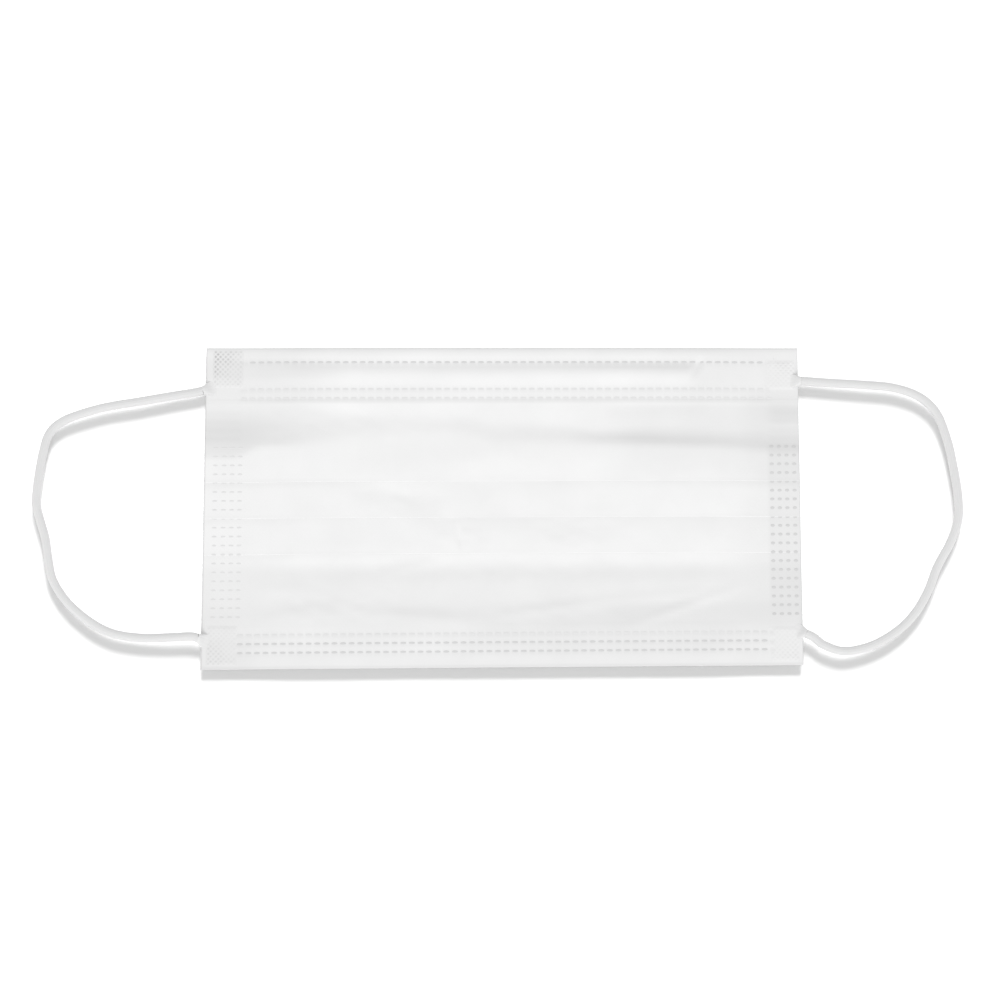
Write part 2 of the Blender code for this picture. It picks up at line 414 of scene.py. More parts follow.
print("rings of", SIDES, "points,", round(RING_SPACING / MM, 2), "mm apart")

# %% Knit and its map
def knit(angle, along):
    """How far the yarn stands out at that angle and length."""
    lean = 0.5 * np.abs((along / COURSE) % 1 * 2 - 1)
    wale = np.cos(WALES * (angle + lean * 2 * math.pi / WALES))
    course = np.cos(2 * math.pi * along / COURSE + math.pi * (np.floor(WALES * angle / (2 * math.pi)) % 2))
    return RELIEF * (0.6 * wale + 0.4 * course)


def elastic_radii(along):
    """Half the width and half the height, which change slowly along the way."""
    slow = np.sin(along / (23 * MM)) + 0.6 * np.sin(along / (9 * MM) + 1.3)
    flat = FLATNESS * (0.6 + 0.25 * slow)
    return ELASTIC / 2 * (1 + 0.3 * flat) - RELIEF, ELASTIC / 2 * (1 - flat) - RELIEF


def corner_vertices(mesh):
    """The vertex at each corner of each face."""
    indices = np.empty(len(mesh.loops), dtype=np.int32)
    mesh.loops.foreach_get("vertex_index", indices)
    return indices


def write_uv(mesh, name, values):
    mesh.uv_layers.new(name=name).data.foreach_set("uv", values.astype(np.float32).ravel())


def uv_round_and_along(obj, along):
    """UV in metres: round the cord and along it. The last column of faces runs on past the seam."""
    indices = corner_vertices(obj.data)
    side, ring = indices % SIDES, indices // SIDES
    values = np.stack([side / SIDES, along[ring]], axis=1).astype(np.float32)
    quads = (len(along) - 1) * SIDES
    corners = values[: quads * 4].reshape(quads, 4, 2)
    last = corners[:, :, 0].max(axis=1) - corners[:, :, 0].min(axis=1) > 0.5
    corners[last, :, 0] = np.where(corners[last, :, 0] < 0.5, corners[last, :, 0] + 1, corners[last, :, 0])
    values[:, 0] *= math.pi * ELASTIC
    write_uv(obj.data, "cord", values)


LOOPS = {}
for side_name in LOOP_ROUTES_MM:
    points, length = loop_route(side_name, RING_SPACING)
    cord, along = tube(f"elastic_{side_name}", points, elastic_radii, knit)
    uv_round_and_along(cord, along)
    LOOPS[side_name] = (cord, points, length)
    print(cord.name, len(points), "rings,", 2 * len(cord.data.polygons), "triangles")

# %% [markdown]
# White elastic is nylon thread over rubber: matt and a shade greyer than the cloth. The gaps between wales
# are painted darker, as shade in the knit's hollows. The finish reads the cord's own UV map, so its threads
# bend with the loop.

# %% Elastic finish
def elastic_finish(name, light, dark):
    yarn = Finish(name)
    on_cord = yarn.node("ShaderNodeUVMap", {"uv_map": "cord"}, {})
    around = yarn.parts(on_cord)[0]
    threads = yarn.noise(yarn.stretched(on_cord, (9000, 1400, 1)), 1, 2)
    cloud = yarn.noise(yarn.stretched(on_cord, (160, 90, 1)), 1, 2)
    turns = around * (2 * math.pi * WALES / (math.pi * ELASTIC))
    # painted shade in the gaps between wales, where the knit's relief is hollow
    gaps = (0.5 - 0.5 * turns.wave()) ** 3
    tone = (0.55 * threads + 0.35 * cloud + 0.25 * (1 - gaps)).clamped()
    yarn.shade(
        Base_Color=yarn.mix(tone, dark, light),
        Roughness=(0.78 + 0.18 * threads).clamped(),
        Normal=yarn.bump(threads, 0.04 * MM, 0.6),
        Specular_IOR_Level=0.2,
    )
    return yarn.material


elastic = elastic_finish("knitted_elastic", 0.75, 0.66)
cords = [cord for cord, points, length in LOOPS.values()]
for cord in cords:
    cord.data.materials.append(elastic)
shines_on(cord_light, cords)
shines_on(cloth_light, cords, "EXCLUDE")
print("elastic finished")

# %% [markdown]
# The body is one sheet. It starts at the back of the top hem, turns over the upper edge, runs down the front,
# folds back under itself at each pleat and ends at the back of the bottom hem. A cloth simulation would lose
# the pressed creases and the weld marks, so the sheet is drafted as a pattern maker would: a grid of columns
# across the mask and rows along the cloth, each row with its own height for every column.
# Columns and rows are close together where weld marks press into the cloth.

# %% Where the weld marks are
TOP_HEM, BOTTOM_HEM = 15.6, 10.6
FOLDS = (40.1, 50.8, 61.5)
INNER_FOLDS = (29.6, 41.9, 52.6)
HALF = MASK_WIDTH / 2 / MM

DASH_PITCH = 2.5
DASH_ROWS = (4.3, 12.4, 15.1, 85.1, 87.7, 90.3)
FIRST_DASH, LAST_DASH = -76.2, 79.0
DASHES = np.arange(FIRST_DASH, LAST_DASH, DASH_PITCH)
DOT_PITCH = 2.632
DOT_ROWS = [29.8 + DOT_PITCH * k for k in range(20)]
DOT_COLUMNS = {"left": (-84.3, -81.7, -79.3, -77.0), "right": (79.3, 81.5, 83.7, 85.9)}


def thinned(values, least):
    """The values in order, without those that come too close after another."""
    kept = []
    for value in sorted(values):
        if not kept or value - kept[-1] >= least:
            kept.append(value)
    return kept


SEAM_FROM, SEAM_COLUMN = 76.5, 1.1
LEAST_COLUMN, LEAST_ROW = 0.38, 0.24
across_mm = [-HALF, -HALF + 0.6, -HALF + 1.4, HALF - 0.4, HALF]
for dash in DASHES:
    across_mm += [dash - 0.75, dash, dash + 0.75, dash + DASH_PITCH / 2]
across_mm += [side * (SEAM_FROM + SEAM_COLUMN * k) for side in (-1, 1) for k in range(10)]
X = np.array(thinned(across_mm, LEAST_COLUMN))
X[-1] = HALF
print(len(X), "columns, from", X[0], "to", X[-1], "mm")

# %% [markdown]
# How high the cloth lies is the mask's whole character. The side seams are pressed flat and the middle is
# loose. Down the middle, the hem swells over the wire, the upper face sags and climbs onto the stack of
# pleats, the pleats lie like shallow clapboards, and the lower face climbs again in two soft steps to the
# bottom hem. These heights are written as stops down the mask, for a few places across it.

# %% Smooth curves through stops
def blend_table(at, table):
    """Smooth values between a table's stops."""
    stops, values = np.array(table, dtype=float).T
    low = np.clip(np.searchsorted(stops, at, side="right") - 1, 0, len(stops) - 2)
    share = smooth_step((at - stops[low]) / (stops[low + 1] - stops[low]))
    return values[low] + share * (values[low + 1] - values[low])


def profile(down, stops):
    """Monotone cubic through (down, height) stops, where both may be one value for each column."""
    downs = np.array([np.broadcast_to(np.asarray(d, dtype=float), X.shape) for d, z in stops])
    heights = np.array([np.broadcast_to(np.asarray(z, dtype=float), X.shape) for d, z in stops])
    steps = np.diff(downs, axis=0)
    secants = np.diff(heights, axis=0) / steps
    slopes = np.zeros_like(downs)
    same = secants[:-1] * secants[1:] > 0
    both = np.where(same, secants[:-1] + secants[1:], 1)
    slopes[1:-1] = np.where(same, 2 * secants[:-1] * secants[1:] / both, 0)
    slopes[0], slopes[-1] = secants[0], secants[-1]
    result = np.where(down <= downs[0], heights[0], heights[-1])
    for k in range(len(steps)):
        inside = (down >= downs[k]) & (down <= downs[k + 1])
        t = np.clip((down - downs[k]) / steps[k], 0, 1)
        value = (
            (2 * t ** 3 - 3 * t * t + 1) * heights[k] + (t ** 3 - 2 * t * t + t) * steps[k] * slopes[k]
            + (3 * t * t - 2 * t ** 3) * heights[k + 1] + (t ** 3 - t * t) * steps[k] * slopes[k + 1]
        )
        result = np.where(inside, value, result)
    return result


print("a profile has one height for each of", X.size, "columns")

# %% Stops down the mask
LOFT = smooth_step((HALF - np.abs(X) - 10) / 20)
RIGHT = smooth_step((X - 20) / 20)
WIRE_SWELL = blend_table(X, ((-80, 0.0), (-35, 0.26), (10, 0.26), (42, 0.36), (87, 0.34)))
OVER_WIRE = smooth_step((59.8 - X) / 6) * WIRE_SWELL
VALLEY_DOWN = blend_table(X, ((-87, 21.5), (-68, 21.5), (-37, 20.6), (-14, 20.8), (-2, 22.2), (17, 23.0),
                              (30, 25.2), (60, 26.2), (87, 27.4)))
STACK_DOWN = blend_table(X, ((-87, 29.6), (-60, 29.4), (-37, 27.0), (-14, 26.0), (-2, 29.0), (17, 29.4),
                             (30, 29.5), (60, 30.3), (87, 31.2)))
STACK_RISE = blend_table(X, ((-87, 0.50), (-60, 0.48), (-25, 0.28), (5, 0.56), (40, 0.68), (87, 0.70)))


def mixed(flat, loose):
    """A height for every column: flat in the pressed seams, loose in the middle."""
    return flat + LOFT * (loose - flat)


FOLD_HEIGHTS = [mixed(1.38 + 0.08 * RIGHT, 2.22 + 0.16 * RIGHT), mixed(1.38, 2.12), mixed(1.37, 2.10)]
UPPER = [
    (0.0, mixed(1.40, 1.80)),
    (0.5, mixed(1.43, 1.95)),
    (1.6, mixed(1.44, 2.07)),
    (3.6, mixed(1.43, 2.00)),
    (4.9, mixed(1.42, 1.98)),
    (6.9, mixed(1.40, 2.00 + OVER_WIRE)),
    (8.0, mixed(1.40, 2.01 + OVER_WIRE)),
    (11.6, mixed(1.38, 2.02 + 0.1 * OVER_WIRE)),
    (15.4, mixed(1.36, 2.02)),
    (16.6, mixed(1.24, 1.98)),
    (VALLEY_DOWN, mixed(1.16 - 0.08 * RIGHT, 1.86)),
    (STACK_DOWN, mixed(1.34 + 0.12 * RIGHT, 1.86 + STACK_RISE)),
    (33.0, mixed(1.38 + 0.10 * RIGHT, 1.90 + STACK_RISE)),
    (FOLDS[0], FOLD_HEIGHTS[0]),
]
STEP = 0.045
SECOND_SWELL = smooth_step((X + 20) / 25)
STRIPS = [
    [
        (FOLDS[0], FOLD_HEIGHTS[0] - STEP),
        (FOLDS[0] + 4.5, mixed(1.38, 2.15 + 0.14 * RIGHT)),
        (FOLDS[1], FOLD_HEIGHTS[1]),
    ],
    [
        (FOLDS[1], FOLD_HEIGHTS[1] - STEP),
        (FOLDS[1] + 4.5, mixed(1.38, 2.11 + 0.08 * SECOND_SWELL)),
        (FOLDS[1] + 7, mixed(1.38, 2.12 + 0.06 * SECOND_SWELL)),
        (FOLDS[2], FOLD_HEIGHTS[2]),
    ],
]
LOWER = [
    (FOLDS[2], FOLD_HEIGHTS[2] - STEP),
    (65.4, mixed(1.36, 1.90)),
    (70.2, mixed(1.42, 2.08)),
    (75.8, mixed(1.55, 2.11)),
    (82.8, mixed(1.98, 2.46)),
    (85.2, mixed(2.08, 2.49)),
    (MASK_HEIGHT / MM, mixed(2.24, 2.49)),
]
MIDDLE = len(X) // 2
heights_seen = {down: round(float(profile(down, UPPER)[MIDDLE]), 2) for down in (0, 7, 22, 30, 40)}
print("down the middle column, heights in mm:", heights_seen)

# %% [markdown]
# Handling leaves soft wrinkles: two long ones climb to the right over the lower face, a short one crosses a
# pleat, and the cloth is never quite even anywhere. Each is a ridge in a table, and the rest are patches of
# fine crumples and slow waves from a fixed seed. They all fade out in the pressed seams.

# %% Wrinkles
# (across, down, half length, half width, turn in degrees, height), in millimetres
RIDGES = (
    (57, 76.2, 19, 1.1, 19, 0.16),
    (36, 75.3, 24, 1.2, 5, 0.08),
    (-12.6, 56.8, 3.0, 0.5, 97, -0.20),
    (-32, 43.5, 14, 2.2, -8, -0.12),
    (24, 54.0, 12, 3.0, 0, -0.14),
    (-20, 54.5, 9, 3.2, -20, 0.12),
    (-60, 79.0, 15, 2.0, 6, 0.12),
    (-25, 80.0, 18, 1.8, -5, 0.14),
    (15, 78.0, 15, 1.6, 6, 0.12),
    (-70, 71.8, 14, 1.7, -3, 0.12),
    (-27, 65.5, 9, 1.6, 12, 0.10),
    (45, 21.0, 16, 2.4, 3, 0.10),
    (-50, 19.0, 14, 2.0, -6, -0.10),
    (-70, 27.5, 9, 1.2, 8, -0.12),
    (57.5, 6.2, 3, 0.8, 60, -0.25),
)
# (across, down, half width, half height of the patch, height), in millimetres
CRUMPLES = (
    (-50, 77.0, 19, 5.0, 0.020), (14, 79.0, 22, 3.5, 0.016), (-12, 56.0, 7, 4.5, 0.022),
    (20, 55.5, 13, 4.5, 0.016), (-30, 45.5, 11, 4.5, 0.014), (-72, 19.0, 13, 6.0, 0.018),
    (47, 37.5, 9, 4.0, 0.012), (5, 67.0, 30, 3.5, 0.010), (72, 50.0, 7, 18.0, 0.010),
    (-40, 23.5, 26, 3.5, 0.014),
)
WAVE_HEIGHT = 0.009
rng = np.random.default_rng(11)
# (wave length across, wave length down, lean, phase)
WAVES = [
    (rng.uniform(30, 90), rng.uniform(9, 24), rng.uniform(-0.15, 0.15), rng.uniform(0, 6.28))
    for wave in range(9)
]


def wrinkles(down):
    """What the wrinkles add to each column's height at this place down the mask."""
    total = np.zeros_like(X)
    for x_mm, down_mm, half_length, half_width, turned, height in RIDGES:
        c, s = math.cos(math.radians(turned)), math.sin(math.radians(turned))
        dx, dy = X - x_mm, -(down - down_mm)
        along, aside = dx * c + dy * s, -dx * s + dy * c
        total += height * np.exp(-((along / half_length) ** 4) - (aside / half_width) ** 2)
    fine = np.sin(1.9 * down + 0.35 * X + 0.8 * np.sin(0.31 * X)) + np.sin(1.35 * down - 0.62 * X + 2.0)
    fine = fine + 0.7 * np.sin(0.9 * X + 0.5 * down)
    for x_mm, down_mm, half_wide, half_high, height in CRUMPLES:
        total += height * fine * np.exp(-((X - x_mm) / half_wide) ** 2 - ((down - down_mm) / half_high) ** 2)
    for long_wave, short_wave, lean, phase in WAVES:
        total += WAVE_HEIGHT * np.sin(2 * math.pi * (X / long_wave + (down + lean * X) / short_wave) + phase)
    return LOFT * total


print(len(RIDGES), "ridges,", len(CRUMPLES), "crumpled patches and", len(WAVES), "waves")

# %% [markdown]
# A weld mark is a spot where hot teeth have pressed the fibres into a thin film. Along the hems the sheet
# sinks there and loses its thickness. The depth at a point is the product of two soft steps, one across and
# one down. A grey amount is kept beside the height: painted shade on slopes, in dips, below folds and along
# edges, and the grey of the weld film.

# %% Pressed marks
DASH_DEPTH = 0.05
DASH_HALF_LONG, DASH_SOFT_ENDS = 0.76, 0.35
DASH_HALF_WIDE, DASH_SOFT_SIDES = 0.3, 0.4


def mark(distance, half, soft):
    """1 within that half width of a line, with soft sides."""
    return 1 - smooth_step((np.abs(distance) - half) / soft)


def pressed(down):
    """How far each column is pressed at this place down the mask, from 0 to 1."""
    share = np.zeros_like(X)
    for row in DASH_ROWS:
        if abs(down - row) < DASH_HALF_WIDE + DASH_SOFT_SIDES:
            reach = 86 if row == DASH_ROWS[0] else LAST_DASH + 0.5
            nearest = (X - FIRST_DASH + DASH_PITCH / 2) % DASH_PITCH - DASH_PITCH / 2
            here = mark(nearest, DASH_HALF_LONG, DASH_SOFT_ENDS)
            here = here * mark(down - row, DASH_HALF_WIDE, DASH_SOFT_SIDES)
            share = np.maximum(share, here * (X > FIRST_DASH - 1) * (X < reach))
    return share


print("dashes are", 2 * DASH_HALF_LONG, "mm long on", len(DASH_ROWS), "rows")

# %% Painted shade and weld grey of the cloth
# Painted shade just below each fold: how strong it is across the mask, one table for each fold.
PAINTED_CREASE_SHADE = (
    blend_table(X, ((-87, 0.16), (-45, 0.11), (-25, 0.03), (0, 0.0), (20, 0.06), (45, 0.06), (87, 0.14))),
    blend_table(X, ((-87, 0.12), (-60, 0.06), (-30, 0.0), (-10, 0.06), (87, 0.06))),
    blend_table(X, ((-87, 0.08), (-40, 0.10), (-25, 0.0), (87, 0.03))),
)


def painted_shade_and_welds(down):
    """Painted shade on slopes, in dips, below folds and along edges, and the grey of weld film."""
    past = lambda at, soft: smooth_step((down - at) / soft)
    left = lambda at, soft: smooth_step((at - X) / soft)
    right = lambda at, soft: smooth_step((X - at) / soft)
    # each part says how grey, then where across and where down the mask
    # all parts are painted shade except the seam dot rows and the last one, which grey the welds
    parts = (
        0.37 * left(-55, 22) * past(16, 9) * (1 - past(28.0 + 3.5 * left(-70, 10), 2.5)),
        0.16 * left(-45, 20) * (1 - past(27, 4)),
        0.11 * left(-44, 14) * mark(down - 6.2, 1.8, 2.0),
        0.04 * (1 - past(15, 2)),
        (0.07 * left(-76.5, 1) + 0.08 * right(78.2, 1)) * past(15.5, 2) * (1 - past(28, 1)) * (
            0.5 + 0.5 * math.cos(2 * math.pi * (down - DOT_ROWS[0]) / DOT_PITCH)),
        0.12 * left(-70, 6) * past(84, 4),
        0.13 * right(26, 14) * past(16.6, 1) * (1 - past(36, 8)),
        0.14 * right(26, 16) * mark(down - 26.6 - 1.4 * right(36, 50), 1.4, 2.4),
        0.08 * right(22, 18) * past(17, 2) * (1 - past(26, 3)),
        0.15 * right(68, 8) * past(12, 3) * (1 - past(30, 3)),
        0.22 * right(75, 7) * mark(down - 19.8, 1.0, 2.8),
        0.14 * right(34, 30) * (1 - past(16, 4)),
        0.10 * right(66, 12) * past(28, 3) * (1 - past(74, 8)),
        0.17 * right(77.6, 1.2) * past(29, 2) * (1 - past(70, 12)),
        0.155 * past(62.5, 5),
        0.09 * right(5, 20) * mark(down - 80.0, 2.6, 2.4),
        0.12 * right(-20, 20) * (1 - right(60, 14)) * mark(down - 86.3, 3.4, 2.4),
        0.20 * smooth_step((np.abs(X) - HALF + 0.5) / 0.4) * past(29, 1.5),
        0.24 * (1 - past(0.1, 0.8)) + 0.3 * past(94.3, 0.6),
        0.14 * mark(down - 5.4, 1.0, 0.9) * blend_table(X, (
            (-87, 0.1), (-50, 0.35), (-20, 0.4), (15, 0.8), (40, 1.5), (56, 1.0), (62, 0))),
        0.24 * mark(down - 15.9, 0.35, 0.5),
        0.12 * pressed(down),
    )
    # painted shade in a band just below each fold line
    creases = [mark(down - fold - 0.5, 0.25, 1.2) * faint for fold, faint in zip(FOLDS, PAINTED_CREASE_SHADE)]
    return sum(parts) + sum(creases)


print("greyness at the middle of the mask:", round(float(painted_shade_and_welds(MASK_HEIGHT / MM / 2)[MIDDLE]), 3))

# %% Rows down a visible stretch
ROW_SPACING = 1.3
HEM_EDGE_ROWS = [15.6, 16.0, 16.4, 16.9]


def front_rows(first, last, spacing):
    """Rows from first to last, with four on each row of marks."""
    wanted = [row + step for row in DASH_ROWS for step in (-0.42, -0.14, 0.14, 0.42)] + HEM_EDGE_ROWS
    wanted = [row for row in wanted if first + 0.2 < row < last - 0.2]
    gaps = [first, *sorted(wanted), last]
    for low, high in zip(gaps, gaps[1:]):
        steps = int((high - low) / spacing)
        wanted += [low + (high - low) * (k + 1) / (steps + 1) for k in range(steps)]
    return [first, *thinned(wanted, LEAST_ROW), last]


print(len(front_rows(0, FOLDS[0], ROW_SPACING)), "rows from the upper edge to the first fold")

# %% [markdown]
# Now the rows are strung together in the order of the cloth. Hidden layers need few rows, and they are drawn
# thin, so that a crease stands no higher than a real pressed one. The thickness is kept as a share of the
# full one for every point, and the Solidify modifier reads it from a vertex group.

# %% Rows of the sheet
SHEET = 0.34
THIN = 0.06
THINNING_RUN = 1.4
rows = []
front = set()


def add_row(down, height, thick=1.0):
    rows.append([np.broadcast_to(value, X.shape) for value in (down, height, thick)])


def top_at(down, stops, thick=1.0):
    """Middle of the wall where its outer side is as high as the stops say, with its wrinkles."""
    return profile(down, stops) + wrinkles(down) - thick * SHEET / 2


def add_turn(tip, way, start, stop, steps, thick=THIN):
    """A round fold from one height to another, whose outermost point is at tip."""
    radius = (start - stop) / 2
    reach = np.minimum(np.abs(radius), 0.9)
    for k in range(1, steps):
        angle = math.pi * k / steps
        height = (start + stop) / 2 + radius * math.cos(angle)
        add_row(tip - way * reach * (1 - math.sin(angle)), height, thick)


def add_front(stops, first, last, spacing, thin_from=None, thin_to=None):
    """A visible stretch, thinner near the creases that it starts or ends in."""
    downs = front_rows(first, last, spacing)
    if thin_from is not None:
        downs = [*thinned([*downs[:-1], thin_from + 0.3, thin_from + 0.8], 0.12), last]
    downs = [*[down for down in downs if down < last - 0.2], last - 0.08, last]
    for down in downs:
        share = pressed(down)
        thick = 1 - 0.3 * share
        if thin_from is not None:
            thick = thick * (THIN + (1 - THIN) * smooth_step((down - thin_from) / THINNING_RUN))
        if thin_to is not None:
            thick = thick * (THIN + (1 - THIN) * smooth_step((thin_to - down) / THINNING_RUN))
        front.add(len(rows))
        add_row(down, top_at(down, stops, thick) - DASH_DEPTH * share, thick)


print("the sheet's wall is", SHEET, "mm, and", round(THIN * SHEET, 2), "mm where it is hidden")

# %% Back of the top hem and the upper face
FLAP = 0.20
# (down or up from the edge, share of the climb), and for the lower one the share of the wall too
TOP_BACK = ((TOP_HEM, 0), (12.5, 0.02), (9.5, 0.05), (6, 0.15), (3, 0.4), (1, 0.75))
BOTTOM_BACK = (
    (0.1, 1.0, THIN), (0.8, 0.97, 0.3), (3, 0.84, 1), (6, 0.5, 1), (8.6, 0.15, 1), (BOTTOM_HEM, 0.05, 1),
)
for down, share in TOP_BACK:
    add_row(down, mixed(0.55 + 0.4 * share, FLAP + 1.0 * share))
flap_top = mixed(0.88, 1.05)
add_turn(0, -1, flap_top, top_at(0.5, UPPER), 7, 1.0)
add_front(UPPER, 0.5, FOLDS[0] - 0.02, ROW_SPACING, thin_to=FOLDS[0])
print(len(rows), "rows so far")

# %% Pleats
CREASE = 0.0225 - THIN * SHEET / 2 * 0.2
stretches = [UPPER, *STRIPS]
nexts = [*STRIPS, LOWER]
for number, (fold, inner) in enumerate(zip(FOLDS, INNER_FOLDS)):
    above, below = stretches[number], nexts[number]
    edge = top_at(fold, above, THIN)
    add_turn(fold, 1, edge, edge - CREASE, 3)
    sag = 0.75 * LOFT
    for t in (0.06, 0.2, 0.5, 0.8, 0.95):
        down = fold + t * (inner - fold)
        sinking = smooth_step(t / 0.12) * (SHEET + 0.3 * sag * math.sin(math.pi * t))
        add_row(down, top_at(down, above, THIN) - CREASE - sinking, THIN)
    under = top_at(inner, above, THIN) - CREASE - SHEET
    floor_layer = under - mixed(0.10, 0.5)
    add_turn(inner, -1, under, floor_layer, 4)
    start_height = top_at(fold, below, THIN)
    for t in (0.08, 0.25, 0.5, 0.75, 0.93):
        down = inner + t * (fold - inner)
        height = floor_layer + smooth_step(t) * (start_height - floor_layer)
        add_row(down, height - sag * math.sin(math.pi * t) * 0.8, THIN)
    if number < len(FOLDS) - 1:
        following = FOLDS[number + 1]
        add_front(below, fold + 0.05, following - 0.02, ROW_SPACING, thin_from=fold, thin_to=following)
    print("pleat", number + 1, "done,", len(rows), "rows")

# %% Lower face and bottom hem
bottom = MASK_HEIGHT / MM
add_front(LOWER, FOLDS[2] + 0.05, bottom - 0.03, 1.2, thin_from=FOLDS[2], thin_to=bottom)
edge_high = top_at(bottom, LOWER, THIN)
add_turn(bottom, 1, edge_high, edge_high - 0.03, 3)
rest = FLAP + mixed(0.7, 0.1)
for up, share, thick in BOTTOM_BACK:
    add_row(bottom - up, rest + (edge_high - 0.10 - rest) * share, thick)
print(len(rows), "rows in all,", len(rows) * len(X), "points")

# %% [markdown]
# The rows and columns become a mesh. Its UV map is the flat cloth in metres: across the mask, and along the
# cloth as it was before folding. Solidify then gives the sheet its wall on both sides.

# %% The sheet as a mesh
downs, heights, thicks = np.array(rows).swapaxes(0, 1)
columns = np.broadcast_to(X, downs.shape)
sheet_points = np.stack([columns * MM, place(columns * MM, downs * MM), heights * MM], axis=2)
cloth_run = run_along(sheet_points[:, MIDDLE])

count_r, count_c = downs.shape
faces = []
for r in range(count_r - 1):
    a, b = r * count_c, (r + 1) * count_c
    faces += [(a + c, b + c, b + c + 1, a + c + 1) for c in range(count_c - 1)]
panel = mesh_object("pleated_sheet", sheet_points.reshape(-1, 3), faces)

indices = corner_vertices(panel.data)
write_uv(panel.data, "cloth", np.stack([X[indices % count_c] * MM, cloth_run[indices // count_c]], axis=1))

# Painted shade and weld grey, one value for each point of the visible rows
shade_and_weld_values = np.array([painted_shade_and_welds(row[0][0]) if k in front else np.zeros_like(X) for k, row in enumerate(rows)])
grey = panel.data.attributes.new("painted_shade_and_welds", "FLOAT", "POINT")
grey.data.foreach_set("value", shade_and_weld_values.astype(np.float32).ravel())

group = panel.vertex_groups.new(name="wall_share")
levels = np.round(thicks.ravel() * 100) / 100
for level in np.unique(levels):
    group.add(np.nonzero(levels == level)[0].tolist(), float(level), "REPLACE")
wall = panel.modifiers.new("wall", "SOLIDIFY")
wall.thickness = SHEET * MM
wall.offset = 0
wall.vertex_group = "wall_share"
wall.thickness_vertex_group = 0.0
print("flat cloth", round(MASK_WIDTH / MM), "x", round(cloth_run[-1] / MM, 1), "mm")
print(4 * len(faces), "triangles with its wall")

# %% [markdown]
# Spunbond nonwoven is a felt of endless threads, tacked by a fine lattice of hot points. Close up it has
# hair-fine threads in all directions, small dimples a millimetre apart, and slightly cloudy whiteness where
# more or fewer threads lie. The threads are noise stretched three ways, and the lattice is two crossing
# waves. Painted shade and weld grey come from an attribute on the sheet. Pressed cloth is the same
# felt, made greyer by another attribute that carries its film, its pits and the cloth's painted shade.

# %% Nonwoven finish
CLOTH_WHITE, CLOTH_DIM = 0.862, 0.792
DIMPLE_ACROSS, DIMPLE_ALONG = 1.15 * MM, 1.4 * MM
THREADS = (700, 5200, 1)


def nonwoven_finish(name, grey, grey_name, map_name=None):
    felt = Finish(name)
    if map_name:
        spot = felt.node("ShaderNodeUVMap", {"uv_map": map_name}, {})
    else:
        spot = felt.node("ShaderNodeTexCoord", {}, {}, "Object")
    threads = felt.noise(felt.stretched(spot, THREADS, 24), 1, 2)
    for turned in (-31, 78):
        threads = threads.math("MAXIMUM", threads, felt.noise(felt.stretched(spot, THREADS, turned), 1, 2))
    cloud = felt.noise(spot, 95, 3)
    across_cloth, along_cloth = felt.parts(spot)[:2]
    across_wave = (across_cloth * (2 * math.pi / DIMPLE_ACROSS)).wave()
    along_wave = (along_cloth * (2 * math.pi / DIMPLE_ALONG)).wave()
    dimples = (0.5 + 0.5 * (across_wave * along_wave)) ** 5
    tone = (0.35 * threads + 0.85 * cloud - 0.1 - 0.08 * dimples).clamped()
    shade_and_weld_share = felt.node("ShaderNodeAttribute", {"attribute_name": grey_name}, {}, "Fac")
    felt.shade(
        Base_Color=felt.mix(shade_and_weld_share, felt.mix(tone, CLOTH_DIM, CLOTH_WHITE), grey),
        Roughness=(0.8 + 0.2 * threads - 0.1 * dimples - 0.3 * shade_and_weld_share).clamped(),
        Normal=felt.bump(threads - 0.8 * dimples, 0.02 * MM, 0.4),
        Specular_IOR_Level=0.2,
    )
    return felt.material


panel.data.materials.append(nonwoven_finish("white_nonwoven", 0.61, "painted_shade_and_welds", "cloth"))
print("nonwoven finished")

# %% [markdown]
# The nose wire lies in the hem's pocket, between the flap and the front. It can't be seen, but it is why the
# hem bulges, so the solid stays and gets the brushed look of drawn aluminium strip.

# %% Nose wire finish
strip = Finish("wire_metal")
on_strip = strip.node("ShaderNodeTexCoord", {}, {}, "Object")
brushed = strip.noise(strip.stretched(on_strip, (60, 9000, 1)), 1, 3)
strip.shade(
    Base_Color=strip.mix(brushed, (0.66, 0.67, 0.68), (0.80, 0.81, 0.82)),
    Roughness=0.28 + 0.2 * brushed,
    Normal=strip.bump(brushed, 0.01 * MM, 0.5),
    Metallic=1.0,
)
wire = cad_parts["nose_wire"]
wire.data.materials.clear()
wire.data.materials.append(strip.material)

# %% [markdown]
# Where the elastic meets the cloth, the weld presses it flat. The end is a short loft: a round section at
# the edge of the mask, and a wide thin one that melts into the cloth. It is drawn as rings on the line from
# the exit to the inner tip, and follows the cloth, which is found by looking straight down on the sheet.

# %% Looking down on the cloth
LOOK_FROM = 50 * MM
bpy.context.view_layer.update()
finished_panel = panel.evaluated_get(bpy.context.evaluated_depsgraph_get())
finished_mesh = finished_panel.to_mesh()
cloth_tree = BVHTree.FromPolygons(
    [vertex.co.copy() for vertex in finished_mesh.vertices],
    [tuple(face.vertices) for face in finished_mesh.polygons],
)
finished_panel.to_mesh_clear()


def top_of_cloth(x, y, missing=None):
    """Height and slope of the cloth's upper side there."""
    hit, normal = cloth_tree.ray_cast(Vector((x, y, LOOK_FROM)), Vector((0, 0, -1)))[:2]
    return (missing, None) if hit is None else (hit.z, normal)


print("the cloth is", round(top_of_cloth(0, 0)[0] / MM, 2), "mm high in the middle")

# %% Pressed ends of the elastic
END_LENGTH = 8 * MM
END_RINGS = 34
END_HALF_FLAT = 0.05 * MM
END_MELTS = 0.08 * MM
SIDE_LIMIT = MASK_WIDTH / 2 - 0.4 * MM
SQUEEZE_REACH = {"top": 0.42, "bottom": 0.32}


